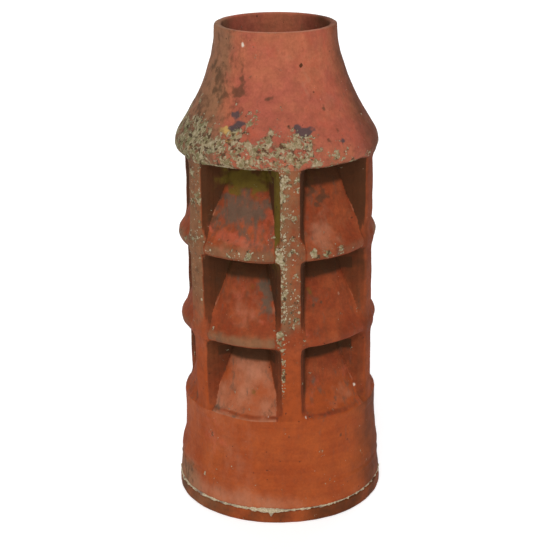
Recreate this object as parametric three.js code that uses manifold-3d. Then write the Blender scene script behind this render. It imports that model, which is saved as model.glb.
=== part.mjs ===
// A louvred chimney pot of red terracotta: a foot ring and drum, six upright posts with three
// tiers of louvres set between them, and a flared hood that narrows to a round mouth. A louvre
// leans inwards between two cheeks, and smoke leaves over its head, under the lip above it.
//
// Millimetres, +Z up. The origin is the centre of the foot's underside, the pot's axis is Z,
// and one post faces the front, which is -Y. Azimuths are counted from the front towards +X.

import * as THREE from "three";
import { mergeVertices } from "three/addons/utils/BufferGeometryUtils.js";
import Module from "manifold-3d";

const wasm = await Module();
wasm.setup();

// ---- Driving dimensions -------------------------------------------------------------------

const HEIGHT = 900;
const WALL = 13; // thickness of the clay
const JOINT_GAP = 0.3; // clearance between members that are luted together
const COLUMNS = 6;
const ROUND_SEGMENTS = 60;

const SHAFT_RADIUS = 182; // front faces of the posts
const POST_FRONT_WIDTH = 33;
const POST_BACK_WIDTH = 50;
const POST_CORNER = 3;

const HOOD_BOTTOM = 672; // also the head of the upper windows
const HOOD_RADIUS = 187;
const MOUTH_RADIUS = 110.4;
const COLLAR_HEIGHT = 15; // straight stretch under the mouth

const DRUM_TOP = 199;
const DRUM_RADIUS = 183;
const DRUM_ROUNDING = 4;
const SHOULDER_RADIUS = 190;
const SHOULDER_TOP = 112;
const SHOULDER_BOTTOM = 92;
const DRUM_FOOT_RADIUS = 194.5;
const DRUM_BORE = 168;
const FOOT_BORE = 178;

const FOOT_RADIUS = 197;
const FOOT_HEIGHT = 24;
const FOOT_ROUNDING = 4;
const MORTAR_THICKNESS = 2.5;

// The heads of the windows, and the folds where the louvres leave the wall, set out by hand.
const TIERS = [
  { name: "upper", head: HOOD_BOTTOM, fold: 526, lip: 503 },
  { name: "middle", head: 503, fold: 360, lip: 339 },
  { name: "lower", head: 339, fold: DRUM_TOP + JOINT_GAP, lip: DRUM_TOP + JOINT_GAP },
];

// ---- Worked out from them -----------------------------------------------------------------

const COLUMN_ANGLE = (2 * Math.PI) / COLUMNS;
const MORTAR_BOTTOM = FOOT_HEIGHT + JOINT_GAP;
const DRUM_BOTTOM = MORTAR_BOTTOM + MORTAR_THICKNESS + JOINT_GAP;
const POST_BOTTOM = DRUM_TOP + JOINT_GAP;
const POST_HEIGHT = HOOD_BOTTOM - JOINT_GAP - POST_BOTTOM;
const MOUTH_BORE = MOUTH_RADIUS - WALL;
const SHAFT_BORE = SHAFT_RADIUS - WALL;

// ---- Materials ----------------------------------------------------------------------------

const matte = (color, roughness) =>
  new THREE.MeshStandardMaterial({ color, roughness, metalness: 0 });
const hoodClay = matte(0xb4614a, 0.85);
const shaftClay = matte(0x9e5238, 0.88);
const drumClay = matte(0xa45433, 0.82);
const limeMortar = matte(0xad9f84, 0.95);

// ---- Helpers ------------------------------------------------------------------------------

// A closed mesh's geometry as a solid for cutting.
function solidOf(geometry) {
  const bare = geometry.clone();
  bare.deleteAttribute("normal");
  bare.deleteAttribute("uv");
  const merged = mergeVertices(bare, 1e-4);
  return new wasm.Manifold(
    new wasm.Mesh({
      numProp: 3,
      vertProperties: merged.attributes.position.array,
      triVerts: new Uint32Array(merged.index.array),
    }),
  );
}

function geometryOf(solid) {
  const mesh = solid.getMesh();
  return new THREE.BufferGeometry()
    .setAttribute("position", new THREE.BufferAttribute(mesh.vertProperties, 3))
    .setIndex(new THREE.BufferAttribute(mesh.triVerts, 1));
}

// A ring whose section is the closed path of radius and height, turned about Z.
function turnedRing(path, divisions) {
  const points = path.getPoints(divisions);
  points.push(points[0].clone());
  return new THREE.LatheGeometry(points, ROUND_SEGMENTS).rotateX(Math.PI / 2);
}

function named(name, geometry, material) {
  const mesh = new THREE.Mesh(geometry, material);
  mesh.name = name;
  return mesh;
}

// ---- Foot, mortar and drum ----------------------------------------------------------------

function footRing() {
  const path = new THREE.Path();
  path.moveTo(FOOT_BORE, 0);
  path.lineTo(FOOT_RADIUS - FOOT_ROUNDING, 0);
  path.quadraticCurveTo(FOOT_RADIUS, 0, FOOT_RADIUS, FOOT_ROUNDING);
  path.lineTo(FOOT_RADIUS, FOOT_HEIGHT - FOOT_ROUNDING);
  path.quadraticCurveTo(FOOT_RADIUS, FOOT_HEIGHT, FOOT_RADIUS - FOOT_ROUNDING, FOOT_HEIGHT);
  path.lineTo(FOOT_BORE, FOOT_HEIGHT);
  return turnedRing(path, 2);
}

function mortarJoint() {
  const outer = DRUM_FOOT_RADIUS - 1;
  const top = MORTAR_BOTTOM + MORTAR_THICKNESS;
  const path = new THREE.Path();
  path.moveTo(FOOT_BORE + 2, MORTAR_BOTTOM);
  path.lineTo(outer, MORTAR_BOTTOM);
  path.lineTo(outer, top);
  path.lineTo(FOOT_BORE + 2, top);
  return turnedRing(path, 1);
}

function baseDrum() {
  const shoulderMiddle = (SHOULDER_TOP + SHOULDER_BOTTOM) / 2;
  const flareTop = 58;
  const path = new THREE.Path();
  path.moveTo(FOOT_BORE, DRUM_BOTTOM);
  path.lineTo(DRUM_FOOT_RADIUS, DRUM_BOTTOM);
  path.quadraticCurveTo(SHOULDER_RADIUS + 2, DRUM_BOTTOM + 12, SHOULDER_RADIUS, flareTop);
  path.lineTo(SHOULDER_RADIUS, SHOULDER_BOTTOM);
  path.bezierCurveTo(
    SHOULDER_RADIUS, shoulderMiddle,
    DRUM_RADIUS, shoulderMiddle,
    DRUM_RADIUS, SHOULDER_TOP,
  );
  path.lineTo(DRUM_RADIUS, DRUM_TOP - DRUM_ROUNDING);
  path.quadraticCurveTo(DRUM_RADIUS, DRUM_TOP, DRUM_RADIUS - DRUM_ROUNDING, DRUM_TOP);
  path.lineTo(DRUM_BORE, DRUM_TOP);
  path.lineTo(DRUM_BORE, SHOULDER_TOP);
  path.lineTo(FOOT_BORE, SHOULDER_BOTTOM);
  return turnedRing(path, 3);
}

// ---- Hood ---------------------------------------------------------------------------------

function hood() {
  const lipWidth = 2; // rounding of the mouth's two edges
  const edgeTop = { radius: HOOD_RADIUS - 4, z: HOOD_BOTTOM + 34 };
  const collarFoot = HEIGHT - COLLAR_HEIGHT;
  const path = new THREE.Path();
  path.moveTo(SHAFT_BORE, HOOD_BOTTOM);
  path.lineTo(SHAFT_RADIUS, HOOD_BOTTOM);
  // The rounded drip edge, then the flare up to the collar.
  path.bezierCurveTo(
    HOOD_RADIUS + 2, HOOD_BOTTOM + 12,
    HOOD_RADIUS + 0.5, edgeTop.z - 7,
    edgeTop.radius, edgeTop.z,
  );
  path.bezierCurveTo(
    edgeTop.radius - 42, edgeTop.z + 68,
    MOUTH_RADIUS, collarFoot - 60,
    MOUTH_RADIUS, collarFoot,
  );
  path.lineTo(MOUTH_RADIUS, HEIGHT - lipWidth);
  path.lineTo(MOUTH_RADIUS - lipWidth, HEIGHT);
  path.lineTo(MOUTH_BORE + lipWidth, HEIGHT);
  path.lineTo(MOUTH_BORE, HEIGHT - lipWidth);
  path.lineTo(MOUTH_BORE, collarFoot);
  path.bezierCurveTo(
    MOUTH_BORE, collarFoot - 65,
    SHAFT_BORE - 39, edgeTop.z + 62,
    SHAFT_BORE, edgeTop.z - 6,
  );
  return turnedRing(path, 6);
}

// ---- Posts --------------------------------------------------------------------------------

// A post's section at the front of the pot, wider at the back so that the window's sides splay
// inwards. Grown all round by a clearance, and lengthened outwards in line with its flanks, it
// also cuts the louvres' ends.
function postSection(grow, lengthening) {
  const splay = (POST_BACK_WIDTH - POST_FRONT_WIDTH) / 2 / WALL;
  const front = SHAFT_RADIUS + lengthening;
  const back = SHAFT_BORE - grow;
  const halfFront = POST_FRONT_WIDTH / 2 + grow - lengthening * splay;
  const halfBack = POST_BACK_WIDTH / 2 + grow * (1 + splay);
  const flank = new THREE.Vector2(halfBack - halfFront, front - back).setLength(POST_CORNER);
  const shape = new THREE.Shape();
  shape.moveTo(-halfBack, -back);
  shape.lineTo(-halfFront - flank.x, -front + flank.y);
  shape.quadraticCurveTo(-halfFront, -front, -halfFront + POST_CORNER, -front);
  shape.lineTo(halfFront - POST_CORNER, -front);
  shape.quadraticCurveTo(halfFront, -front, halfFront + flank.x, -front + flank.y);
  shape.lineTo(halfBack, -back);
  return shape;
}

function post() {
  return new THREE.ExtrudeGeometry(postSection(0, 0), {
    depth: POST_HEIGHT,
    bevelEnabled: false,
    curveSegments: 3,
  });
}

// The room that the posts on both sides of a louvre take, with a clearance, in the louvre's frame.
function postRoom() {
  const cutter = solidOf(
    new THREE.ExtrudeGeometry(postSection(1.3 * JOINT_GAP, LOUVRE.cutReach), {
      depth: HEIGHT,
      bevelEnabled: false,
      curveSegments: 3,
    }),
  );
  const halfTurn = THREE.MathUtils.radToDeg(COLUMN_ANGLE / 2);
  return cutter.rotate([0, 0, halfTurn]).add(cutter.rotate([0, 0, -halfTurn]));
}

// ---- Louvres ------------------------------------------------------------------------------

const LOUVRE = {
  thickness: 14, // measured level
  footRadius: 179.5,
  // Radius of the outer face at shares of the height from the fold to the head.
  slope: [[0.1, 172], [0.21, 166], [0.4, 157.5], [0.6, 149.5], [0.8, 141], [1, 130.5]],
  crestRadius: 183.5,
  lipRadius: 175,
  lipRounding: 8,
  cutReach: 4, // how far the cut for the posts reaches out past their fronts
};
// A cheek's face towards the window: two places across and out from the middle of its post.
const CHEEK = { thickness: 11, front: [24, SHAFT_BORE + 1], back: [32.6, 126.4] };

// Radius and height above the fold of a louvre's outer face, from its lip or foot to its head.
function louvreFace(slopeHeight, bandDrop) {
  const { slope, footRadius, crestRadius, lipRadius, lipRounding } = LOUVRE;
  const face = [[footRadius, 0], ...slope.map(([share, radius]) => [radius, share * slopeHeight])];
  if (bandDrop > lipRounding) {
    const lipTop = lipRounding - bandDrop;
    face.unshift(
      [lipRadius, -bandDrop],
      [crestRadius - lipRounding / 4, lipTop - lipRounding / 2],
      [crestRadius, lipTop],
      [crestRadius, -lipRounding * 0.75],
    );
  }
  return face;
}

// A ring that lies between a face moved in by one inset and the same face moved in by another.
function ringBehind(face, firstInset, secondInset) {
  const moved = (inset) => face.map(([radius, height]) => new THREE.Vector2(radius - inset, height));
  const path = new THREE.Path([...moved(firstInset), ...moved(secondInset).reverse()]);
  return solidOf(turnedRing(path, 1));
}

// Front and back of the cheek on the +X side, in the louvre's frame, moved towards its post.
function cheekLine(inset) {
  return [CHEEK.front, CHEEK.back].map(([across, out]) =>
    new THREE.Vector2(inset - across, -out).rotateAround(new THREE.Vector2(), COLUMN_ANGLE / 2),
  );
}

function prism(points, bottom, top) {
  const depth = top - bottom;
  const shape = new THREE.Shape(points);
  const geometry = new THREE.ExtrudeGeometry(shape, { depth, bevelEnabled: false });
  return solidOf(geometry.translate(0, 0, bottom));
}

const mirrored = ({ x, y }) => new THREE.Vector2(-x, y);

// One louvre facing the front: a sheet that leans inwards above its fold, an upright band below
// it that hangs to the lip, and a cheek at each side as far back as the sheet.
function louvre(slopeHeight, bandDrop, postCutter) {
  const face = louvreFace(slopeHeight, bandDrop);
  const slopeFace = face.slice(-LOUVRE.slope.length - 1);
  const top = slopeHeight - JOINT_GAP;
  const [front, back] = cheekLine(CHEEK.thickness / 2);
  const along = front.clone().sub(back);
  const outside = front.clone().add(along);
  const inside = back.clone().addScaledVector(along, -0.5);
  const room = prism([inside, outside, mirrored(outside), mirrored(inside)], -bandDrop, top);
  const sheet = ringBehind(face, 0, LOUVRE.thickness).intersect(room);
  const behindSheet = ringBehind(slopeFace, LOUVRE.thickness / 2, LOUVRE.thickness * 6);
  const slab = [...cheekLine(0), ...cheekLine(CHEEK.thickness).reverse()];
  const cheeks = prism(slab, 0, top).add(prism(slab.map(mirrored), 0, top));
  return geometryOf(sheet.add(cheeks.subtract(behindSheet)).subtract(postCutter));
}

// ---- Assembly -----------------------------------------------------------------------------

const pot = new THREE.Group();
pot.add(named("foot_ring", footRing(), drumClay));
pot.add(named("mortar_joint", mortarJoint(), limeMortar));
pot.add(named("base_drum", baseDrum(), drumClay));
pot.add(named("hood", hood(), hoodClay));

for (let i = 0; i < COLUMNS; i++) {
  const mesh = named(`post_${i + 1}`, post(), shaftClay);
  mesh.position.z = POST_BOTTOM;
  mesh.rotation.z = i * COLUMN_ANGLE;
  pot.add(mesh);
}

for (const tier of TIERS) {
  const cutter = postRoom().translate([0, 0, -tier.fold]);
  const geometry = louvre(tier.head - tier.fold, tier.fold - tier.lip, cutter);
  for (let i = 0; i < COLUMNS; i++) {
    const mesh = named(`louvre_${tier.name}_${i + 1}`, geometry, shaftClay);
    mesh.position.z = tier.fold;
    mesh.rotation.z = (i + 0.5) * COLUMN_ANGLE;
    pot.add(mesh);
  }
}

export default pot;
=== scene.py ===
"""A louvred chimney pot of red terracotta, weathered, on a pale studio floor.

The clay body is one smooth solid, worked out on a grid in cylindrical coordinates and then parted
into the members that it was luted together from: drum, posts, louvres and hood. Lengths inside the
modelling functions are in millimetres, and meshes are made in metres. Azimuths are counted from
the front post, which faces -Y, towards +X.
"""

import itertools
import math

import bpy
import numpy as np
from mathutils import Matrix, Vector


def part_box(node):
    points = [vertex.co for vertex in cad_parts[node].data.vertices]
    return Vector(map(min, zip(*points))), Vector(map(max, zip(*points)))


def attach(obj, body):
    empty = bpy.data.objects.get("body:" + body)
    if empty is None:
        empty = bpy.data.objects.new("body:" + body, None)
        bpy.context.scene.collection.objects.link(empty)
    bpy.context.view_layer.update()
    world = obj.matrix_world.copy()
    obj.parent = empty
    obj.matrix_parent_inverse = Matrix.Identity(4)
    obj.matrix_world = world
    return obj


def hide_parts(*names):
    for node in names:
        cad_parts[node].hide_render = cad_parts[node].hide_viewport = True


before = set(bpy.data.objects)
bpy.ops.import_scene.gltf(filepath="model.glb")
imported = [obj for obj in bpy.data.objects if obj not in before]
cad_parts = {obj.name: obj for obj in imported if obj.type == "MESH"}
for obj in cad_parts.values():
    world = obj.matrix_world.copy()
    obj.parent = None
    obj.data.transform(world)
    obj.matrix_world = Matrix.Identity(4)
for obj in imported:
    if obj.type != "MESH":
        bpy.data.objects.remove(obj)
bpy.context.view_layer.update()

MM = 0.001


def bottom_of(node):
    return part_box(node)[0][2] / MM


def top_of(node):
    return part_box(node)[1][2] / MM


# ---- Driving sizes ------------------------------------------------------------------------

COLUMNS = 6
SECTOR = 2 * math.pi / COLUMNS
TIERS = ("upper", "middle", "lower")
HEIGHT = top_of("hood")
HOOD_BOTTOM = bottom_of("hood")
DRUM_TOP = top_of("base_drum")
DRUM_BOTTOM = bottom_of("base_drum")
FOOT_TOP = top_of("foot_ring")
FOOT_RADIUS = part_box("foot_ring")[1][0] / MM
LIPS = {
    "upper": bottom_of("louvre_upper_1"),
    "middle": bottom_of("louvre_middle_1"),
    "lower": DRUM_TOP,
}
FOLD_RISES = {"upper": 23, "middle": 23, "lower": 1}
HEADS = {"upper": HOOD_BOTTOM, "middle": LIPS["upper"], "lower": LIPS["middle"]}

WALL = 13
POST_HALF_WIDTH = 16.5
POST_HALF_BACK = 22.5
POST_RADIUS = 182.5
CHEEK_FRONT = (22.5, 169)  # across and out from the middle of the post beside it
CHEEK_BACK = (33.5, 127)
# Half width of a louvre's sheet at shares of the height from its fold to its head.
SHEET_SHARES = (0, 0.1, 0.2, 0.35, 0.5, 0.6, 0.75, 1)
SHEET_HALF_WIDTHS = (84, 75, 67, 56.5, 48, 44, 38, 32)
CHEEK_THICKNESS = 11
CHEEK_RADIUS = 171  # how far out the cheeks reach
LEDGE = 3
SIDE_LEAN = 0.94  # cosine of how far a sheet's sides lean, to make a distance of a width
SHEET_ARRIS = 2.5
ARRIS = 4
WINDOW_FILLET = 12
DRUM_FILLET = 7
LOWEST_FILLET = 6  # between the drum and the lowest louvres
CHEEK_FILLET = 3
RING_INSIDE = 178  # the drum's inner radius at the foot, and the foot ring's

LEFT_POST, FRONT_POST, RIGHT_POST = -60, 0, 60  # azimuths in degrees of the posts in full view

# How far the clay and the mortar are from true: rows of wavelength and depth in mm, and a seed.
CLAY_PUSH = ((420, 0.9, 10), (130, 0.5, 11), (45, 0.28, 12), (17, 0.13, 13))
CLAY_LIFT = ((150, 0.9, 30), (40, 0.3, 31))
MORTAR_CRUMBS = ((16, 1.0, 81), (7, 0.7, 82))
LEAN, LEAN_REACH = -2.4, 13  # how far round the left post leans, and how widely, in degrees
DRUM_SHIFT = (1.98, 0.28, 0)  # how far the drum's upper part was thrown off the axis
THROWING_RIDGE, RIDGE_HALF_HEIGHT, RIDGE_DEPTH = 68, 3, 0.9
RIM_TILT = 0.016  # rise of the rim towards the back
MORTAR_BLOB, BLOB_REACH = math.radians(-15), 0.14  # where most mortar was squeezed out
MORTAR_DRIP, DRIP_REACH = math.radians(-12), 0.016  # where some of it ran down over the foot
MORTAR_THINS = (0.2, 0.4)  # between these azimuths, in radians, the mortar gets sparser

# The parting: a post's share of its sector, and the ends of a louvre's member. Outside the parting
# radius the member ends that drop below the louvre's head, and inside it a little above the head.
POST_SHARE = 0.3
PARTING_RADIUS = 135
PARTING_DROP = 16
PARTING_OVERLAP = 2

GRID_ANGLES = 408
GRID_STEP = 2.7
GRID_RADII = np.arange(74, 202, GRID_STEP)
GRID_HEIGHTS = np.arange(DRUM_BOTTOM - 7, HEIGHT + 8, GRID_STEP)
CURVE_STEPS = 8  # between two points of an outline
WAVE_COUNT = 7  # waves summed into one smooth random value


# ---- Solids as distances ------------------------------------------------------------------


def smooth_curve(points):
    """A curve through (radius, height) points."""
    p = np.array(points, float)
    p = np.vstack([2 * p[0] - p[1], p, 2 * p[-1] - p[-2]])
    t = np.linspace(0, 1, CURVE_STEPS, endpoint=False)[:, None]
    spans = [
        b + 0.5 * t * (c - a + t * (2 * a - 5 * b + 4 * c - d + t * (3 * (b - c) + d - a)))
        for a, b, c, d in zip(p, p[1:], p[2:], p[3:])
    ]
    return np.vstack([*spans, p[-2:-1]])


def outline_distance(outline, radius, height):
    """Distance from a closed outline in the (radius, height) plane, negative inside it."""
    outline = np.array(outline, float)
    nearest = np.full(np.broadcast(radius, height).shape, np.inf)
    inside = np.zeros(nearest.shape, bool)
    for (r0, z0), (r1, z1) in zip(outline, np.roll(outline, -1, axis=0)):
        dr, dz = r1 - r0, z1 - z0
        wr, wz = radius - r0, height - z0
        along = np.clip((wr * dr + wz * dz) / (dr * dr + dz * dz + 1e-12), 0, 1)
        nearest = np.minimum(nearest, (wr - along * dr) ** 2 + (wz - along * dz) ** 2)
        if dz:
            inside ^= ((z0 <= height) != (z1 <= height)) & (wr < dr * wz / dz)
    return np.where(inside, -1, 1) * np.sqrt(nearest)


def smooth_min(a, b, width):
    """The union of two solids, with a fillet about that wide between them."""
    overlap = np.maximum(width - np.abs(a - b), 0)
    return np.minimum(a, b) - overlap * overlap / (4 * width)


def smooth_max(a, b, width):
    """What two solids share, with its edges rounded off about that far."""
    return -smooth_min(-a, -b, width)


def rounded_corner(corner, before, after, radius):
    """Points that round a corner of an outline, given the points before and after it."""
    corner, before, after = (np.array(p, float) for p in (corner, before, after))
    start = corner + (before - corner) / np.linalg.norm(before - corner) * radius
    end = corner + (after - corner) / np.linalg.norm(after - corner) * radius
    t = np.linspace(0, 1, 5)[:, None]
    return list(map(tuple, (1 - t) ** 2 * start + 2 * t * (1 - t) * corner + t * t * end))


def hood_outline():
    """Section of the hood, down its outside, across its drip edge and up its inside."""
    drip = HOOD_BOTTOM
    outer = smooth_curve([
        (110.4, HEIGHT - 12), (111.4, HEIGHT - 30), (115, HEIGHT - 49), (120, HEIGHT - 67),
        (131.8, HEIGHT - 103), (149.2, HEIGHT - 139), (171, HEIGHT - 175), (182.2, HEIGHT - 193),
        (186.6, drip + 23), (187.4, drip + 15), (185, drip + 7),
    ])
    inner = smooth_curve([
        (166, drip + 28), (151.9, drip + 53), (138.8, drip + 76), (127.2, drip + 99),
        (117.1, drip + 122), (108.8, drip + 144), (102.6, drip + 166), (98.7, drip + 189),
        (97.5, drip + 213),
    ])
    rim_outer, rim_inner = (110.2, HEIGHT), (97.5, HEIGHT)
    return [
        *rounded_corner(rim_outer, rim_inner, outer[0], 4),
        *outer,
        *rounded_corner((178, drip), (185, drip + 7), (168, drip), 4),
        *rounded_corner((166, drip), (178, drip), (166, drip + 28), 4),
        *inner,
        *rounded_corner(rim_inner, inner[-1], rim_outer, 4),
    ]


def drum_outline():
    """Section of the drum, up its outside and down its inside."""
    outer = smooth_curve([
        (195, DRUM_BOTTOM), (193.2, 43), (191.6, 58), (190.8, 70), (189.7, 75), (190.6, 80),
        (190, 90), (187.6, 102), (185.2, 114), (183.6, 135), (183, 165), (183, DRUM_TOP - 6),
        (181.8, DRUM_TOP + 1), (177, DRUM_TOP + 5),
    ])
    inner = [(168, DRUM_TOP + 5), (168, 112), (RING_INSIDE, 92), (RING_INSIDE, DRUM_BOTTOM)]
    return [*outer, *inner]


def fold_of(name):
    """Height at which the louvres of a tier, given by its name or a node's, leave the wall."""
    return next(LIPS[tier] + FOLD_RISES[tier] for tier in TIERS if tier in name)


def louvre_behind(tier):
    """Outline of all that lies behind a louvre's outer face, from below its lip to its head."""
    lip, fold, head = LIPS[tier], fold_of(tier), HEADS[tier]
    if tier == "lower":
        start = [(182, fold - 40), (182, fold - 6)]
    else:
        start = [(174, lip - 40), (174, lip), (180, lip + 3.5), (183, lip + 10), (183.4, lip + 18)]
    radii = [(179, 0.02), (172, 0.1), (166, 0.21), (157.5, 0.4), (149.5, 0.6), (141, 0.8)]
    slope = [(radius, fold + share * (head - fold)) for radius, share in radii]
    end = [(130.5, head), (112, head + 50)]
    return [*smooth_curve([*start, *slope, *end]), (0, head + 50), (0, lip - 40)]


def louvre_distance(tier, radius, height, across, outward):
    """One louvre and its cheeks, given places across and out from its post's middle.

    The sheet stands a little proud of the cheeks and of the ledge that joins it to them.
    """
    lip, fold, head = LIPS[tier], fold_of(tier), HEADS[tier]
    air = outline_distance(louvre_behind(tier), radius, height)
    (x0, y0), (x1, y1) = CHEEK_FRONT, CHEEK_BACK
    cheek = ((across - x0) * (y0 - y1) - (x1 - x0) * (y0 - outward)) / math.hypot(x1 - x0, y0 - y1)
    share = np.clip((height - fold) / (head - fold), 0, 1)
    half_width = np.interp(share, SHEET_SHARES, SHEET_HALF_WIDTHS)
    from_middle = outward * math.sin(SECTOR / 2) - across * math.cos(SECTOR / 2)
    sheet = np.maximum(np.abs(air + WALL / 2) - WALL / 2, lip - height)
    below = 4 * np.clip(fold - height, 0, None)  # the sheet widens fast below its fold
    sheet = smooth_max(sheet, (from_middle - half_width) * SIDE_LEAN - below, SHEET_ARRIS)
    sheet = smooth_max(sheet, height - (head - ARRIS), ARRIS)
    shell = np.minimum(air + LEDGE, cheek)
    shell = np.abs(shell + CHEEK_THICKNESS / 2) - CHEEK_THICKNESS / 2
    limits = np.maximum(np.maximum(fold - height, height - (head + 1)), radius - CHEEK_RADIUS)
    return sheet, np.maximum(shell, limits)


def flank_distance(across, outward):
    """Distance from the plane of a post's flank, negative on the post's side."""
    splay = math.atan2(POST_HALF_BACK - POST_HALF_WIDTH, WALL)
    return (across - POST_HALF_WIDTH) * math.cos(splay) + (outward - POST_RADIUS) * math.sin(splay)


def post_distance(radius, height, across, outward):
    """A post, which runs a little way into the drum and the hood."""
    flank = flank_distance(across, outward)
    body = smooth_max(radius - POST_RADIUS, flank, ARRIS)
    body = smooth_max(body, POST_RADIUS - WALL - radius, ARRIS)
    return np.maximum(body, np.maximum(DRUM_TOP - 10 - height, height - HOOD_BOTTOM - 12))


def clay_field():
    """Distance to the clay's surface at each grid point, by azimuth, radius and height."""
    half = GRID_ANGLES // COLUMNS // 2
    angle = ((np.arange(half) + 0.5) * 2 * math.pi / GRID_ANGLES)[:, None, None]
    radius = GRID_RADII[None, :, None]
    height = GRID_HEIGHTS[None, None, :]
    hood = outline_distance(hood_outline(), radius, height)
    drum = outline_distance(drum_outline(), radius, height)
    across, outward = radius * np.sin(angle), radius * np.cos(angle)
    posts = post_distance(radius, height, across, outward)
    louvres = [louvre_distance(tier, radius, height, across, outward) for tier in TIERS]
    (upper, middle, lower), cheeks = zip(*louvres)
    field = smooth_min(posts, hood, WINDOW_FILLET)
    field = smooth_min(field, smooth_min(drum, lower, LOWEST_FILLET), DRUM_FILLET)
    field = smooth_min(field, np.minimum(upper, middle), WINDOW_FILLET)
    field = smooth_min(field, np.minimum.reduce(cheeks), CHEEK_FILLET)
    sector = np.concatenate([field, field[::-1]])
    return np.tile(sector, (COLUMNS, 1, 1)).astype(np.float32)


# ---- Parting the clay into members --------------------------------------------------------


def member_labels():
    """The member that the clay at each grid point belongs to, as an index into the names."""
    names = ["base_drum", "hood"]
    names += [f"post_{i + 1}" for i in range(COLUMNS)]
    names += [f"louvre_{tier}_{i + 1}" for tier in TIERS for i in range(COLUMNS)]
    per_sector = GRID_ANGLES // COLUMNS
    step = np.arange(GRID_ANGLES)
    post = ((step + per_sector // 2) // per_sector % COLUMNS)[:, None, None]
    column = (step // per_sector)[:, None, None]
    from_post = np.abs((step + per_sector // 2) % per_sector - per_sector // 2 + 0.5)
    beside_post = (from_post < per_sector * POST_SHARE / 2)[:, None, None]
    radius = GRID_RADII[None, :, None]
    height = GRID_HEIGHTS[None, None, :]
    labels = np.broadcast_to(2 + post, (GRID_ANGLES, radius.size, height.size)).copy()
    for k, tier in enumerate(TIERS):
        lip, head = LIPS[tier], HEADS[tier]
        outer = radius > PARTING_RADIUS
        low = np.where(outer, lip, lip + PARTING_OVERLAP)
        high = np.where(outer, head - PARTING_DROP, head + PARTING_OVERLAP)
        here = ~beside_post & (height > low) & (height <= high)
        labels = np.where(here, 2 + COLUMNS * (k + 1) + column, labels)
    labels = np.where(height <= DRUM_TOP, 0, labels)
    labels = np.where(height > HOOD_BOTTOM, 1, labels)
    return names, labels.astype(np.int8)


CORNERS = np.array(list(itertools.product((0, 1), repeat=3)))
EDGES = [(a, b) for a, b in itertools.combinations(range(8), 2)
         if np.abs(CORNERS[a] - CORNERS[b]).sum() == 1]


def cell_points(field, cells):
    """Where the surface passes each grid cell, or the cell's centre inside the clay, in mm."""
    index = cells[:, None, :] + CORNERS
    values = field[index[..., 0] % GRID_ANGLES, index[..., 1], index[..., 2]]
    total = np.zeros((len(cells), 3))
    count = np.zeros((len(cells), 1))
    for a, b in EDGES:
        va, vb = values[:, a], values[:, b]
        crosses = ((va < 0) != (vb < 0))[:, None]
        share = (va / np.where(va == vb, 1, va - vb))[:, None]
        total += crosses * (CORNERS[a] + share * (CORNERS[b] - CORNERS[a]))
        count += crosses
    place = cells + np.where(count, total / np.maximum(count, 1), 0.5)
    angle = (place[:, 0] + 0.5) * 2 * math.pi / GRID_ANGLES
    radius = GRID_RADII[0] + GRID_STEP * place[:, 1]
    height = GRID_HEIGHTS[0] + GRID_STEP * place[:, 2]
    return np.column_stack([radius * np.sin(angle), -radius * np.cos(angle), height])


def member_mesh(field, solid):
    """Points and quads of the closed surface round the marked grid points."""
    quads = []
    for axis in range(3):
        ahead = np.roll(solid, -1, axis=axis)
        u, v = (axis + 1) % 3, (axis + 2) % 3
        eu, ev = np.eye(3, dtype=int)[u], np.eye(3, dtype=int)[v]
        for here, flip in ((solid & ~ahead, False), (~solid & ahead, True)):
            point = np.argwhere(here)
            ring = [point, point - ev, point - eu - ev, point - eu]
            if flip:
                ring.reverse()
            quads.append(np.stack(ring, axis=1))
    quads = np.concatenate(quads)
    quads[..., 0] %= GRID_ANGLES
    shape = solid.shape
    keys = np.ravel_multi_index(quads.reshape(-1, 3).T, shape)
    unique, faces = np.unique(keys, return_inverse=True)
    cells = np.column_stack(np.unravel_index(unique, shape))
    return cell_points(field, cells), faces.reshape(-1, 4)


# ---- Hand-made irregularity ---------------------------------------------------------------


def waves(points, wavelength, seed):
    """A smooth random value at each point, about -1 to 1, with that typical wavelength in mm."""
    rng = np.random.default_rng(seed)
    directions = rng.normal(size=(WAVE_COUNT, 3))
    directions /= np.linalg.norm(directions, axis=1, keepdims=True)
    numbers = 2 * math.pi / wavelength * rng.uniform(0.6, 1.5, WAVE_COUNT)
    phases = rng.uniform(0, 2 * math.pi, WAVE_COUNT)
    total = np.zeros(len(points))
    for direction, number, phase in zip(directions, numbers, phases):
        total += np.cos(points @ direction * number + phase)
    return total / math.sqrt(WAVE_COUNT)


def unevenness(points, rows):
    """The sum of waves given as rows of wavelength, depth and seed."""
    return sum(depth * waves(points, wavelength, seed) for wavelength, depth, seed in rows)


def ramp(value, low, high):
    """0 below the low value, 1 above the high one, and straight between them."""
    return np.clip((value - low) / (high - low), 0, 1)


def fade(value, low, high):
    """0 below the low value, 1 above the high one, and smooth between them."""
    t = ramp(value, low, high)
    return t * t * (3 - 2 * t)


def bell(value, centre, reach):
    """1 at the centre, and falling smoothly away on both sides of it."""
    return np.exp(-((value - centre) / reach) ** 2)


def azimuths(points):
    """How far each point is round from the front, towards +X, in radians."""
    return np.arctan2(points[:, 0], -points[:, 1])


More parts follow.
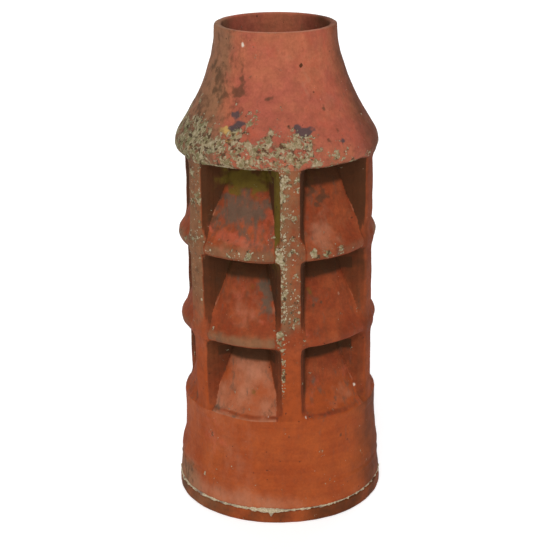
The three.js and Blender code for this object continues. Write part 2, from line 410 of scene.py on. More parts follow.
def handmade(points):
    """The same points on clay that was thrown, cut and luted by hand."""
    height = points[:, 2]
    radial = points * [1, 1, 0]
    radial /= np.linalg.norm(radial, axis=1, keepdims=True)
    push = unevenness(points, CLAY_PUSH)
    push += RIDGE_DEPTH * bell(height, THROWING_RIDGE, RIDGE_HALF_HEIGHT)
    grounded = ramp(height, FOOT_TOP, FOOT_TOP + 60)
    level_rim = 1 - ramp(height, HEIGHT - 30, HEIGHT)
    lift = unevenness(points, CLAY_LIFT) * level_rim * grounded
    lift += RIM_TILT * points[:, 1] * fade(height, HEIGHT - 120, HEIGHT)
    shifted = ramp(height, 85, 115) * (1 - ramp(height, 200, 260))
    beside = bell(np.degrees(azimuths(points)), LEFT_POST, LEAN_REACH)
    lean = LEAN * beside * fade(height, 230, 560) * (1 - fade(height, 660, 760))
    aside = np.column_stack([-points[:, 1], points[:, 0], np.zeros(len(points))])
    moved = points + radial * push[:, None] + np.outer(shifted, DRUM_SHIFT)
    moved += aside * np.radians(lean)[:, None]
    moved[:, 2] += lift
    return moved


# ---- Weathering, painted shade and painted highlights -------------------------------------

# Each kind of coat on the clay: its colour, the size in mm of its ragged edge, and how ragged, how
# opaque and how upright it is.
COATS = {
    "orange": ((0.305, 0.057, 0.0115), 60, 0.5, 0.9, 1.0),
    "red": ((0.42, 0.085, 0.045), 12, 1.7, 0.55, 0.7),
    # pale clay and wash, also used for painted highlights on sheet edges and on faces that look up
    "pale_and_highlight": ((0.44, 0.205, 0.12), 30, 0.7, 0.6, 0.6),
    "ochre": ((0.48, 0.3, 0.09), 8, 0.8, 0.85, 1.0),
    "film": ((0.19, 0.12, 0.06), 24, 1.0, 0.62, 0.7),
    "stain": ((0.06, 0.034, 0.017), 14, 1.9, 0.7, 0.8),
    # soot, also used as painted shade inside the flue
    "soot_and_shade": ((0.09, 0.064, 0.042), 12, 2.2, 0.85, 0.3),
    # mostly painted shade: on sides turned from the light, on flanks and cheeks, under lips and in
    # corners; also a few dark marks and the dark foot
    "painted_shade_and_grime": ((0.045, 0.017, 0.005), 45, 0.5, 0.9, 1.0),
    "algae": ((0.115, 0.077, 0.009), 24, 0.9, 0.85, 0.5),
    "slate": ((0.045, 0.044, 0.048), 7, 0.8, 0.85, 1.0),
    "chip": ((0.62, 0.52, 0.42), 4, 0.3, 1.0, 1.0),
}
KINDS = (*COATS, "lichen", "dots")

# Marks seen on the front, by kind: azimuth in degrees, height, half width and half height in mm,
# and strength.
MARKS = {
    "stain": [
        (-72, 835, 14, 20, 0.7), (-41, 835, 7, 7, 0.6), (-60, 812, 20, 34, 0.85),
        (-38, 804, 20, 15, 0.8), (-12, 787, 9, 7, 0.7), (-52, 785, 16, 14, 0.8),
        (28, 771, 5, 5, 0.8), (-70, 760, 16, 30, 0.7), (0, 745, 6, 6, 0.7), (32, 732, 6, 6, 0.6),
        (24, 716, 7, 6, 0.8), (-10, 714, 8, 7, 0.7), (15, 709, 7, 6, 0.8), (16, 627, 12, 16, 0.8),
        (26, 613, 14, 12, 0.8), (20, 596, 10, 8, 0.7), (-48, 560, 12, 18, 0.7),
        (-38, 474, 26, 16, 0.5), (-15, 456, 12, 20, 0.6), (16, 417, 4, 4, 1.0),
        (22, 416, 4, 4, 1.0), (31, 156, 4, 4, 1.2), (-70, 60, 30, 26, 0.6),
    ],
    "slate": [
        (-32, 748, 19, 16, 1.2), (9, 734, 19, 15, 1.2), (33, 716, 6, 5, 0.9),
        (-47, 703, 17, 11, 1.1),
    ],
    "ochre": [(-37, 731, 18, 12, 1.2), (-62, 700, 10, 8, 0.6)],
    "red": [
        (-20, 868, 40, 20, 0.4), (40, 850, 34, 50, 0.5), (-24, 726, 16, 16, 0.9),
        (-49, 556, 9, 12, 1.2), (-33, 542, 60, 18, 0.95), (-28, 398, 50, 18, 0.4),
        (-50, 150, 40, 34, 0.5),
    ],
    "pale_and_highlight": [
        (-5, 850, 20, 30, 0.3), (-60, 845, 12, 10, 0.5), (16, 805, 9, 50, 0.5),
        (30, 770, 20, 50, 0.3), (26, 585, 10, 40, 0.4), (24, 556, 6, 14, 0.6),
        (22, 548, 46, 44, 0.5), (-30, 528, 70, 22, 0.4), (37, 424, 4, 4, 1.0),
        (-12, 412, 10, 9, 0.5), (-30, 410, 56, 40, 0.4), (36, 228, 50, 26, 0.4),
    ],
    "soot_and_shade": [(-31, 590, 66, 44, 0.9), (-14, 440, 18, 46, 0.9)],
    "algae": [
        (-31, 646, 60, 28, 1.2), (-25, 452, 10, 12, 0.5), (15, 440, 8, 10, 0.6),
        (-24, 250, 8, 7, 0.5),
    ],
    "lichen": [(14, 519, 17, 8, 0.85), (-24, 516, 9, 9, 0.8)],
    "chip": [
        (-38, 878, 4, 5, 1.0), (51, 233, 3, 5, 0.9), (-14, 207, 3, 3, 0.6), (8, 206, 3, 3, 0.7),
    ],
    "painted_shade_and_grime": [(14, 841, 3, 3, 2.5)],
}

# Azimuths, and how far up the hood its lichen reaches in mm and how dense it is there.
HOOD_LICHEN_REACH = ((-180, -90, -70, -45, -20, 0, 15, 35, 60, 90, 180),
                     (110, 112, 114, 92, 96, 84, 66, 44, 26, 40, 110))
HOOD_LICHEN_DENSITY = ((-180, -90, -60, -30, 0, 20, 40, 60, 90, 180),
                       (0.54, 0.54, 0.58, 0.56, 0.56, 0.48, 0.36, 0.22, 0.34, 0.54))
LEFT_LIMB, RIGHT_LIMB = -84, 96  # azimuths of the pot's sides in the photographer's view
SHADED_LOUVRES = "1"  # the number of the louvres to the right of the front post


class Weathering:
    """How strongly each kind of weathering, painted shade and painted highlight shows at each
    point of a member's surface.

    Strengths run from 0 to 1 or a little more. Each kind starts from the marks seen on the front.
    """

    def __init__(self, points, normals, node):
        self.node = node
        self.radius = np.hypot(points[:, 0], points[:, 1])
        self.azimuth = np.degrees(azimuths(points))
        self.height = points[:, 2]
        self.up = normals[:, 2]
        self.outward = (normals[:, :2] * points[:, :2]).sum(axis=1) / self.radius
        self.broad = waves(points, 170, 60)
        self.medium = waves(points, 60, 61)
        self.small = waves(points, 22, 62)
        self.back = 1 - self.near(0, 75, 25)
        self.inside = fade(-self.outward, -0.05, 0.35)
        # faces turned away from the front: out of the rain, and given painted shade on the shaft
        self.shaded_and_sheltered = 1 - fade(self.outward, 0.55, 0.85)
        self.cover = dict.fromkeys(KINDS, 0.0)
        self.add_marks(points)
        if node == "hood":
            self.weather_hood()
        elif node.startswith("louvre"):
            self.weather_louvre()
            self.shade_and_shelter_shaft()
        elif node.startswith("post"):
            self.weather_post()
            self.shade_and_shelter_shaft()
        elif node == "base_drum":
            self.weather_drum()
        elif node == "foot_ring":
            self.weather_foot()
        self.weather_inside()

    def near(self, at, reach, soft):
        """1 within so many degrees of an azimuth, fading over the soft angle."""
        turn = np.abs((self.azimuth - at + 180) % 360 - 180)
        return 1 - fade(turn, reach, reach + soft)

    def add(self, kind, strength):
        """Let a kind show at least that strongly."""
        self.cover[kind] = np.maximum(self.cover[kind], strength)

    def tier_rise(self):
        """How far up its tier of louvres each point is, from 0 at the lip to 1 at the head."""
        steps = [LIPS["lower"], LIPS["middle"], LIPS["upper"], HOOD_BOTTOM]
        return np.interp(self.height, steps, (0, 1, 2, 2.999)) % 1

    def add_marks(self, points):
        """The marks seen on the front, with wandering outlines."""
        wander = 7 * np.array([waves(points, 30, 64), waves(points, 30, 65)])
        wander += 3 * np.array([waves(points, 11, 66), waves(points, 11, 67)])
        facing = fade(self.outward, 0, 0.2)
        for kind, marks in MARKS.items():
            for at, level, half_width, half_height, strength in marks:
                loose = min(1, half_width / 20)  # small marks keep to their place
                turn = np.radians((self.azimuth - at + 180) % 360 - 180)
                across = turn * self.radius + loose * wander[0]
                along = self.height - level + loose * wander[1]
                distance = np.hypot(across / half_width, along / half_height)
                self.add(kind, strength * facing * (1 - fade(distance, 0.2, 1.35)))

    def weather_hood(self):
        """Lichen round the hood's edge, a brown left limb with a little painted shade, painted
        shade on the right limb, a painted highlight on the faces that look up and painted shade on
        those that look down, under the drip edge.
        """
        cover = self.cover
        reach = np.interp(self.azimuth, *HOOD_LICHEN_REACH)
        edge = 1 - fade((self.height - HOOD_BOTTOM) / reach + 0.12 * self.medium, 0.45, 1.15)
        crust = edge * np.interp(self.azimuth, *HOOD_LICHEN_DENSITY)
        limb = self.near(LEFT_LIMB, 20, 34)
        cover["lichen"] = crust * (1 - 0.5 * cover["red"])
        cover["dots"] = 0.06 + 0.5 * crust
        cover["film"] = 0.85 * limb + 0.6 * crust + 0.3 * self.back + 0.3 * self.near(80, 10, 40)
        # painted shade on both limbs, which turn away from the light
        self.add("painted_shade_and_grime", 0.16 * limb + 0.62 * self.near(RIGHT_LIMB, 24, 56))
        # painted shade on the faces that look down, under the drip edge and inside
        self.add("painted_shade_and_grime", 0.8 * fade(-self.up, 0.5, 0.9))
        # painted highlight on the faces that look up
        self.add("pale_and_highlight", 0.6 * fade(self.up, 0.5, 0.9))
        self.add("stain", 0.3 * limb + 0.5 * crust)
        self.add("stain", 0.3 * self.near(-58, 22, 14))
        self.add("red", 0.4 * self.near(34, 16, 18) * (1 - edge))

    def weather_louvre(self):
        """A pale band at the lip, painted highlights along the sheets' edges, and painted shade
        under the lip above and in corners.
        """
        cover, height, node = self.cover, self.height, self.node
        upper, lower = "upper" in node, "lower" in node
        shaded = node.endswith(SHADED_LOUVRES)
        rise = self.tier_rise()
        band = (1 - fade(rise, 0.1, 0.2)) * (not lower)
        fold, head = fold_of(node), top_of(node)
        share = np.clip((height - fold) / (head - fold), 0, 1)
        across = self.radius * np.sin(np.radians(self.azimuth) - SECTOR * (int(node[-1]) - 0.5))
        inset = np.interp(share, SHEET_SHARES, SHEET_HALF_WIDTHS) - np.abs(across)
        # painted shade in the corner beside a sheet's edge, on the louvres in shade
        corner_shade = (1 - fade(inset + 16 * share, 4, 16)) * fade(-across, 0, 10) * shaded
        # a painted highlight along the lower part of each sheet's edges
        arris_highlight = (1 - fade(np.abs(inset), 0.6, 3.4)) * (1 - fade(share, 0.3, 0.6))
        arris_highlight = arris_highlight * fade(share, 0.02, 0.06)
        # the cheeks beyond a sheet's edges, which get painted shade
        beside_sheet = fade(-inset, 0.5, 3) * fade(share, 0.02, 0.08)
        self.shaded_and_sheltered = np.maximum(self.shaded_and_sheltered, beside_sheet)
        # painted shade under the lip above, and in the corners
        cover["painted_shade_and_grime"] = np.maximum(1.2 * fade(rise, 0.68, 0.84), 0.75 * corner_shade * (1 - band))
        self.add("soot_and_shade", 0.14 + 0.12 * self.broad)
        self.add("stain", 0.12 * self.medium)
        self.add("algae", 0.25 * fade(rise, 0.6, 0.9) * fade(self.broad, 0, 1))
        self.add("red", 0.4 * fade(self.broad + self.medium, 0.4, 1.6))
        self.add("pale_and_highlight", 0.6 * arris_highlight * (1 - corner_shade))
        self.add("lichen", 0.4 * band * upper * fade(self.medium + self.small, -0.4, 1.4))
        cover["dots"] = 0.08 + 0.4 * band * upper
        cover["film"] = (0.2 if shaded else 0.5) * band + 0.22 * upper
        cover["film"] = cover["film"] + 0.2 * (node == "louvre_middle_6")
        darker = self.near(30, 20, 10) * fade(height, 230, 300)
        cover["orange"] = 0.75 * lower * (1 - darker)
        if node == "louvre_lower_6":
            blotches = fade(self.small + self.medium, 0.2, 1.6)
            cover["pale_and_highlight"] = 0.55 + 0.1 * self.medium
            cover["stain"] = 0.4 * blotches * (1 - fade(height, 240, 290))

    def weather_post(self):
        """Lichen and film on the left and front posts' upper parts, cleaner orange clay below, and
        painted shade on the right post.
        """
        cover, height = self.cover, self.height
        self.shaded_and_sheltered = np.maximum(self.shaded_and_sheltered, 1 - fade(self.radius, 174, 179))
        exposed = 1 - fade(self.shaded_and_sheltered, 0.5, 1)
        left = self.near(LEFT_POST, 14, 4) * exposed
        front = self.near(FRONT_POST, 12, 4) * exposed
        right = self.near(RIGHT_POST, 13, 4)
        upper = fade(height, 330, 400)
        left_half = fade(-self.azimuth, -1.5, 2.5)
        crumbling = fade(height, 205, 260) * front * fade(-self.azimuth, 2.2, 3.8)
        cover["lichen"] = front * (0.24 * upper + 0.2 * fade(height, 600, 668))
        cover["lichen"] = cover["lichen"] + 0.3 * self.back * upper
        self.add("lichen", 0.5 * crumbling)
        self.add("lichen", 0.38 * left * fade(height, 400, 640))
        cover["dots"] = 0.06 + (0.3 * left + 0.62 * front) * upper + 0.6 * crumbling
        cover["dots"] = cover["dots"] + 0.4 * self.back
        cover["film"] = 0.85 * left * fade(height, 300, 460)
        cover["film"] = cover["film"] + front * upper * (0.55 + 0.25 * left_half)
        self.add("film", 0.3 * self.back)
        self.add("algae", 0.9 * self.shaded_and_sheltered * fade(height, 420, 560) * self.near(-6, 4, 3))
        self.add("stain", 0.22 * left * upper + 0.3 * self.back + 0.1 * self.medium)
        self.add("pale_and_highlight", 0.25 * left)
        # painted shade on the right post, which turns away from the light
        cover["painted_shade_and_grime"] = 0.42 * right
        cover["orange"] = 0.9 * (1 - fade(height, 230, 420))

    def shade_and_shelter_shaft(self):
        """Painted shade, with some film, on a post's flank and the side of a louvre, which are
        turned from the light and out of the rain.
        """
        cover, height = self.cover, self.height
        rise = self.tier_rise()
        shaded_and_sheltered = fade(self.shaded_and_sheltered, 0, 0.7) * (1 - self.inside)
        # less painted shade near azimuth 50 below the upper tier, and less low down
        redder = 0.25 * self.near(50, 14, 6) * (1 - fade(height, 500, 540))
        lighter = 0.16 * (1 - fade(height, 300, 420)) + 0.1 * (1 - fade(height, 470, 520))
        # painted shade, deepest towards the lip above
        self.add("painted_shade_and_grime", shaded_and_sheltered * (0.6 + 0.4 * rise - lighter) * (1 - redder))
        cover["film"] = cover["film"] * (1 - shaded_and_sheltered)
        self.add("film", 0.3 * shaded_and_sheltered * fade(height, 480, 600))
        for kind in ("lichen", "dots", "pale_and_highlight", "orange"):
            cover[kind] = cover[kind] * (1 - 0.9 * shaded_and_sheltered)

    def weather_drum(self):
        """A fairly clean drum, with a paler left side, painted shade on its right side and far
        left, and a stained low edge.
        """
        cover = self.cover
        low = 1 - fade(self.height, 60, 110)
        cover["pale_and_highlight"] = 0.3 * self.near(-50, 24, 30) + 0.06 * self.broad
        cover["pale_and_highlight"] = cover["pale_and_highlight"] + 0.3 * (1 - fade(self.height, 40, 70))
        # painted shade on the sides that turn away from the light
        cover["painted_shade_and_grime"] = 0.6 * self.near(90, 26, 50) + 0.25 * self.near(-100, 14, 20)
        cover["film"] = np.maximum(0.62 * self.near(LEFT_LIMB, 16, 22) * low, 0.2 * self.back)
        cover["dots"] = 0.04 + 0.1 * self.back
        self.add("stain", 0.4 * self.near(-86, 12, 16) * low)

    def weather_foot(self):
        """A dark foot, browner on its left."""
        cover = self.cover
        cover["painted_shade_and_grime"] = 0.5 + 0.08 * self.medium + 0.16 * self.near(60, 40, 20)
        cover["film"] = 0.25 + 0.4 * self.near(-80, 25, 20)
        cover["dots"] = 0.12

    def weather_inside(self):
        """Soot and painted shade on the flue's side of the clay, and none of what grows or fades
        in daylight.
        """
        clean_mouth = fade(self.height, HEIGHT - 130, HEIGHT - 50)
        smoked_and_shaded = fade(self.height, 120, 230) * (1 - 0.95 * clean_mouth)
        # soot with painted shade, darkening the inside seen through the windows, and none near the
        # mouth
        self.add("soot_and_shade", self.inside * 1.05 * smoked_and_shaded)
        for kind in ("lichen", "dots", "algae", "pale_and_highlight", "red"):
            self.cover[kind] = self.cover[kind] * (1 - self.inside)


def weather(piece, node, points):
    """Store the piece's weathering, painted shade and painted highlights on its mesh, as one value
    per point and kind.
    """
    mesh = piece.data
    normals = np.empty(len(points) * 3, np.float32)
    mesh.vertex_normals.foreach_get("vector", normals)
    cover = Weathering(points, normals.reshape(-1, 3), node).cover
    for kind, strength in cover.items():
        values = np.broadcast_to(strength, len(points)).astype(np.float32)
        layer = mesh.attributes.new(kind, "FLOAT", "POINT")
        layer.data.foreach_set("value", values)


# ---- Materials ----------------------------------------------------------------------------


class Shader:
    """A node material under construction. Inputs are sockets or constants."""

    def __init__(self, name):
        self.material = bpy.data.materials.new(name)
        self.material.use_nodes = True
        self.tree = self.material.node_tree
        self.surface = self.tree.nodes["Principled BSDF"]
        self.place = self.node("ShaderNodeTexCoord", {}).outputs["Object"]
        self.seed = 0.0

    def node(self, kind, inputs, **settings):
        node = self.tree.nodes.new(kind)
        for key, value in settings.items():
            setattr(node, key, value)
        for key, value in inputs.items():
            self.put(node.inputs[key], value)
        return node

    def put(self, socket, value):
        if isinstance(value, bpy.types.NodeSocket):
            self.tree.links.new(value, socket)
        elif socket.type == "RGBA":
            socket.default_value = (*value, 1.0)
        else:
            socket.default_value = value

    def maths(self, operation, a, b):
        return self.node("ShaderNodeMath", {0: a, 1: b}, operation=operation).outputs[0]

    def stretched(self, stretch):
        self.seed += 1.7
        inputs = {"Vector": self.place, "Scale": stretch, "Location": (self.seed, -self.seed, 0.0)}
        return self.node("ShaderNodeMapping", inputs).outputs[0]

    def noise(self, size, detail, roughness, stretch=(1.0, 1.0, 1.0)):
        """Noise about 0.5 whose features are about that many millimetres across."""
        inputs = {"Vector": self.stretched(stretch), "Scale": 1000.0 / size, "Detail": detail,
                  "Roughness": roughness}
        return self.node("ShaderNodeTexNoise", inputs).outputs[0]

    def fade(self, value, low, high):
        inputs = {"Value": value, "From Min": low, "From Max": high}
        node = self.node("ShaderNodeMapRange", inputs, interpolation_type="SMOOTHSTEP")
        return node.outputs["Result"]

    def mix(self, share, a, b):
        node = self.node("ShaderNodeMix", {}, data_type="RGBA")
        for socket, value in zip((node.inputs[0], node.inputs[6], node.inputs[7]), (share, a, b)):
            self.put(socket, value)
        return node.outputs[2]

    def tint(self, colour, share, strength, coat):
        """The colour with a coat over that share of it, at that strength."""
        return self.mix(self.maths("MULTIPLY", share, strength), colour, coat)

    def mask(self, kind):
        return self.node("ShaderNodeAttribute", {}, attribute_name=kind).outputs["Fac"]

    def grains(self, size, share, limit):
        """Round spots on a scatter of cells that wide, on that share of them."""
        wobble = self.node("ShaderNodeTexNoise", {"Vector": self.place, "Scale": 2500.0 / size})
        place = self.node("ShaderNodeVectorMath", {
            0: wobble.outputs["Color"], 1: (0.5 * size * MM,) * 3,
            2: self.stretched((1.0, 1.0, 1.0))}, operation="MULTIPLY_ADD")
        inputs = {"Vector": place.outputs[0], "Scale": 1000.0 / size}
        cells = self.node("ShaderNodeTexVoronoi", inputs)
        chance = self.node("ShaderNodeSeparateColor", {0: cells.outputs["Color"]})
        chosen = self.maths("SUBTRACT", share, chance.outputs[0])
        reach = self.maths("MULTIPLY", self.fade(chosen, 0.0, 0.35), limit)
        inset = self.maths("SUBTRACT", reach, cells.outputs["Distance"])
        return self.fade(inset, 0.0, 0.09)

    def bump(self, height, depth, normal=None):
        """The surface's normal with relief of that many millimetres added."""
        inputs = {"Height": height, "Distance": depth * MM, "Strength": 1.0}
        if normal is not None:
            inputs["Normal"] = normal
        return self.node("ShaderNodeBump", inputs).outputs[0]

    def surfaced(self, inputs):
        """The material, once its surface has these inputs."""
        for key, value in inputs.items():
            self.put(self.surface.inputs[key], value)
        return self.material


DOWNWARDS = (1.0, 1.0, 0.08)  # stretches of a noise into streaks and into rings round the pot
ROUND = (0.02, 0.02, 1.0)

BLACK = (0.0, 0.0, 0.0)
MOTTLE = (0.16, 0.045, 0.02)
STREAK = (0.1, 0.045, 0.02)
DARK_PATCH = (0.03, 0.013, 0.006)
PALE_SPECK = (0.5, 0.3, 0.2)
PIT = (0.05, 0.02, 0.012)
TAN_LICHEN = (0.29, 0.24, 0.135)
SAGE_LICHEN = (0.14, 0.135, 0.06)
PALE_LICHEN = (0.42, 0.36, 0.24)
LICHEN_GAP_SHADOW = (0.055, 0.038, 0.02)
DARK_MORTAR = (0.33, 0.26, 0.16)
LIGHT_MORTAR = (0.58, 0.49, 0.33)
MORTAR_DIRT = (0.12, 0.06, 0.05)


def bare_clay(s, clay, light_clay, streaks, throwing):
    """The colour of the clay itself, its fine grain and its throwing rings."""
    tone = s.fade(s.noise(75, 4.0, 0.6), 0.38, 0.64)
    colour = s.mix(tone, clay, light_clay)
    fine = s.noise(5, 4.0, 0.65)
    colour = s.mix(s.fade(fine, 0.3, 0.75), s.mix(0.2, colour, BLACK), colour)
    mottle = s.fade(s.noise(20, 3.0, 0.6), 0.35, 0.7)
    colour = s.tint(colour, mottle, 0.2, MOTTLE)
    streak = s.fade(s.noise(9, 3.0, 0.6, DOWNWARDS), 0.45, 0.72)
    colour = s.tint(colour, streak, streaks, STREAK)
    rings = s.noise(11, 2.0, 0.5, ROUND)
    colour = s.tint(colour, s.fade(rings, 0.35, 0.65), throwing, light_clay)
    return colour, fine, rings


def coated_clay(s, colour, streaks):
    """The colour with every coat over it, and the pits."""
    for kind, (coat, size, raggedness, opacity, upright) in COATS.items():
        edge = s.noise(size, 4.0, 0.65, (1.0, 1.0, upright))
        ragged = s.maths("MULTIPLY", s.maths("SUBTRACT", edge, 0.5), raggedness)
        share = s.fade(s.maths("ADD", s.mask(kind), ragged), 0.2, 0.85)
        colour = s.tint(colour, share, opacity, coat)
    patchy = s.fade(s.noise(16, 4.0, 0.65), 0.42, 0.66)
    colour = s.tint(colour, patchy, streaks, DARK_PATCH)
    colour = s.tint(colour, s.grains(9, 0.22, 0.22), 0.5, PALE_SPECK)
    pits = s.grains(12, 0.3, 0.2)
    return s.tint(colour, pits, 0.7, PIT), pits


def lichen_growth(s):
    """Where crusts and dots of lichen grow, their colour and their crumbs."""
    crumbs = s.noise(6, 5.0, 0.75)
    islands = s.noise(20, 3.0, 0.6)
    pattern = s.maths("ADD", s.maths("MULTIPLY", crumbs, 1.4), s.maths("MULTIPLY", islands, 2.0))
    crust = s.fade(s.maths("ADD", s.mask("lichen"), s.maths("SUBTRACT", pattern, 1.7)), 0.42, 0.56)
    clusters = s.maths("MULTIPLY", s.mask("dots"), s.fade(s.noise(34, 3.0, 0.6), 0.36, 0.6))
    dots = s.maths("MAXIMUM", s.grains(4, clusters, 0.42), s.grains(8, clusters, 0.36))
    sage = s.fade(s.noise(13, 4.0, 0.65), 0.42, 0.6)
    colour = s.mix(sage, TAN_LICHEN, SAGE_LICHEN)
    colour = s.mix(s.maths("MAXIMUM", dots, s.fade(crumbs, 0.5, 0.66)), colour, PALE_LICHEN)
    # dark gaps in the lichen: painted shadow at the crusts' edges, and dark pits
    colour = s.mix(s.fade(s.noise(9, 3.0, 0.6), 0.54, 0.61), colour, LICHEN_GAP_SHADOW)
    return s.maths("MAXIMUM", crust, dots), colour, crumbs


def terracotta(name, clay, light_clay, streaks, throwing):
    """Weathered clay of two tones, with that much streaking and that much of throwing rings."""
    s = Shader(name)
    colour, fine, rings = bare_clay(s, clay, light_clay, streaks, throwing)
    colour, pits = coated_clay(s, colour, streaks)
    growth, lichen, crumbs = lichen_growth(s)
    roughness = s.node("ShaderNodeMapRange", {"Value": growth, "To Min": 0.78, "To Max": 0.95})
    relief = s.bump(s.noise(30, 3.0, 0.5), 1.2)
    relief = s.bump(rings, throwing, relief)
    relief = s.bump(fine, 0.7, relief)
    relief = s.bump(s.maths("SUBTRACT", s.maths("MULTIPLY", growth, crumbs), pits), 0.9, relief)
    return s.surfaced({
        "Base Color": s.tint(colour, growth, 0.85, lichen), "Specular IOR Level": 0.12,
        "Roughness": roughness.outputs["Result"], "Normal": relief})


def lime_mortar():
    s = Shader("lime_mortar")
    sand = s.noise(3, 4.0, 0.7)
    dirt = s.fade(s.noise(26, 3.0, 0.6), 0.5, 0.64)
    colour = s.mix(s.fade(sand, 0.35, 0.7), DARK_MORTAR, LIGHT_MORTAR)
    return s.surfaced({
        "Base Color": s.tint(colour, dirt, 0.75, MORTAR_DIRT), "Roughness": 0.95,
        "Normal": s.bump(sand, 1.0)})


MATERIALS = {
    "hood_terracotta": terracotta(
        "hood_terracotta", (0.41, 0.1, 0.062), (0.46, 0.135, 0.068), 0.12, 0.12),
    "shaft_terracotta": terracotta(
        "shaft_terracotta", (0.25, 0.042, 0.012), (0.33, 0.068, 0.02), 0.2, 0.0),
    "drum_terracotta": terracotta(
        "drum_terracotta", (0.31, 0.055, 0.012), (0.38, 0.078, 0.017), 0.06, 0.25),
    "lime_mortar": lime_mortar(),
}


# ---- Meshes -------------------------------------------------------------------------------


def new_piece(name, points, faces, slot, *nodes):
    """A smooth object from points in mm, standing for the CAD nodes named."""
    mesh = bpy.data.meshes.new(name)
    mesh.vertices.add(len(points))
    mesh.vertices.foreach_set("co", (handmade(points) * MM).astype(np.float32).ravel())
    sides = faces.shape[1]
    mesh.loops.add(faces.size)
    mesh.loops.foreach_set("vertex_index", faces.astype(np.int32).ravel())
    mesh.polygons.add(len(faces))
    mesh.polygons.foreach_set("loop_start", np.arange(0, faces.size, sides, dtype=np.int32))
    mesh.update(calc_edges=True)
    mesh.shade_smooth()
    mesh.set_sharp_from_angle(angle=math.radians(55))
    piece = bpy.data.objects.new(name, mesh)
    bpy.context.collection.objects.link(piece)
    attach(piece, "root")
    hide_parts(*nodes)
    mesh.materials.append(MATERIALS[slot])
    weather(piece, nodes[0], points)


def turned(outline, segments):
    """Points and quads of a closed outline turned about the axis."""
    radius, height = np.array(outline, float).T
    width = len(outline)
    angle = (np.arange(segments) * 2 * math.pi / segments)[:, None]
    x, y = radius * np.sin(angle), -radius * np.cos(angle)
    z = np.broadcast_to(height, x.shape)
    points = np.stack([x, y, z], axis=-1).reshape(-1, 3)
    i, j = np.meshgrid(np.arange(segments), np.arange(width), indexing="ij")
    i2, j2 = (i + 1) % segments, (j + 1) % width
    faces = np.stack([i * width + j, i2 * width + j, i2 * width + j2, i * width + j2], axis=-1)
    return points, faces.reshape(-1, 4)


def refine(outline, step=2.0):
    """The outline with points added so that none of its sides is longer than the step."""
    points = []
    for start, end in zip(outline, outline[1:] + outline[:1]):
        start, end = np.array(start, float), np.array(end, float)
        parts = max(1, math.ceil(np.linalg.norm(end - start) / step))
        points += [tuple(start + (end - start) * k / parts) for k in range(parts)]
    return points


def foot_ring():
    """The plain ring that the drum stands on, with rounded outer edges."""
    outer = FOOT_RADIUS - 0.6  # room for the unevenness
    inner_low, inner_high = (RING_INSIDE, 0), (RING_INSIDE, FOOT_TOP)
    outer_low, outer_high = (outer, 0), (outer - 0.8, FOOT_TOP)
    outline = [
        inner_low,
        *rounded_corner(outer_low, inner_low, (outer, FOOT_TOP), 4),
        *rounded_corner(outer_high, outer_low, inner_high, 3),
        inner_high,
    ]
    return turned(refine(outline), 720)


def mortar_joint():
    """The bead of mortar in the joint, squeezed out more in some places than in others."""
    low, high = FOOT_TOP - 2, DRUM_BOTTOM + 3
    middle = (low + high) / 2
    outline = [
        (181, low), (190, low), (193.5, middle - 1.8), (194.6, middle), (193.5, middle + 1.8),
        (190, high), (181, high),
    ]
    points, faces = turned(refine(outline, 1.0), 900)
    azimuth = azimuths(points)
    flat = points * [1, 1, 0]
    radius = np.linalg.norm(flat, axis=1)
    blob = bell(azimuth, MORTAR_BLOB, BLOB_REACH)
    drip = bell(azimuth, MORTAR_DRIP, DRIP_REACH)
    crumbs = unevenness(flat, MORTAR_CRUMBS)
    squeeze = 1.2 + waves(flat, 50, 80) + 0.9 * crumbs + 1.6 * blob + 1.5 * drip
    squeeze -= 1.6 * ramp(azimuth, *MORTAR_THINS)
    face = ramp(radius, 189, 194)  # only the bead's face moves
    points += flat / radius[:, None] * (np.clip(squeeze, -2.5, 4.5) * face)[:, None]
    taller = np.clip(0.3 * crumbs + blob, -0.4, 1.6) * face
    points[:, 2] = middle + (points[:, 2] - middle) * (1 + taller)
    points[:, 2] -= 9 * drip * face * (points[:, 2] < middle)
    return points, faces


SLOTS = {"base_drum": "drum_terracotta", "hood": "hood_terracotta"}  # of the clay off the shaft

field = clay_field()
names, labels = member_labels()
clay = field < 0
for index, name in enumerate(names):
    slot = SLOTS.get(name, "shaft_terracotta")
    new_piece(name + "_clay", *member_mesh(field, clay & (labels == index)), slot, name)
new_piece("foot_ring_clay", *foot_ring(), "drum_terracotta", "foot_ring")
new_piece("mortar_joint_bead", *mortar_joint(), "lime_mortar", "mortar_joint")


# ---- Stage --------------------------------------------------------------------------------

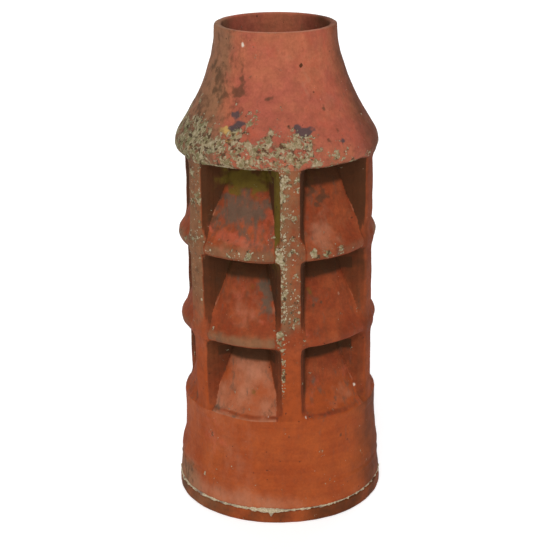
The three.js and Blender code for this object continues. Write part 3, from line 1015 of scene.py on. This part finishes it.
VIEW_AZIMUTH = math.radians(-7.0)
VIEW_PITCH = math.radians(19.173)
VIEW_ROLL = math.radians(-0.55)
VIEW_PLACE = (-0.00565, -2.5037, 1.2921)  # in metres, before turning by the azimuth
FLOOR_SIZE = 120.0

camera = bpy.data.objects.new("camera", bpy.data.cameras.new("camera"))
bpy.context.collection.objects.link(camera)
camera.data.lens = 91.5
camera.data.sensor_width = 36
camera.matrix_world = (
    Matrix.Rotation(VIEW_AZIMUTH, 4, "Z") @ Matrix.Translation(VIEW_PLACE)
    @ Matrix.Rotation(math.pi / 2 - VIEW_PITCH, 4, "X") @ Matrix.Rotation(VIEW_ROLL, 4, "Z")
)
bpy.context.scene.camera = camera

half = FLOOR_SIZE / 2
floor_mesh = bpy.data.meshes.new("floor")
floor_mesh.from_pydata(
    [(-half, -half, 0), (half, -half, 0), (half, half, 0), (-half, half, 0)], [], [(0, 1, 2, 3)])
floor = bpy.data.objects.new("floor", floor_mesh)
bpy.context.collection.objects.link(floor)
floor_mesh.materials.append(Shader("floor_white").surfaced({
    "Base Color": (0.8, 0.8, 0.8), "Roughness": 0.9,
    "Emission Color": (1.0, 1.0, 1.0), "Emission Strength": 0.42}))

world = bpy.data.worlds.new("studio")
bpy.context.scene.world = world
world.use_nodes = True
world.node_tree.nodes["Background"].inputs["Color"].default_value = (1, 1, 1, 1)
world.node_tree.nodes["Background"].inputs["Strength"].default_value = 0.3


def sun(name, azimuth, elevation, spread, strength):
    """A distant light from that azimuth about the camera's own, in degrees."""
    light = bpy.data.lights.new(name, "SUN")
    light.energy = strength
    light.angle = math.radians(spread)
    lamp = bpy.data.objects.new(name, light)
    bpy.context.collection.objects.link(lamp)
    turn = VIEW_AZIMUTH + math.radians(azimuth)
    tilt = math.radians(elevation)
    towards = Vector((math.sin(turn) * math.cos(tilt), -math.cos(turn) * math.cos(tilt),
                      math.sin(tilt)))
    lamp.rotation_euler = towards.to_track_quat("Z", "Y").to_euler()


sun("key", -8, 52, 35, 1.7)
sun("front", 8, 20, 50, 0.55)
sun("back", 180, 40, 60, 0.9)
bpy.context.scene.view_settings.view_transform = "Standard"
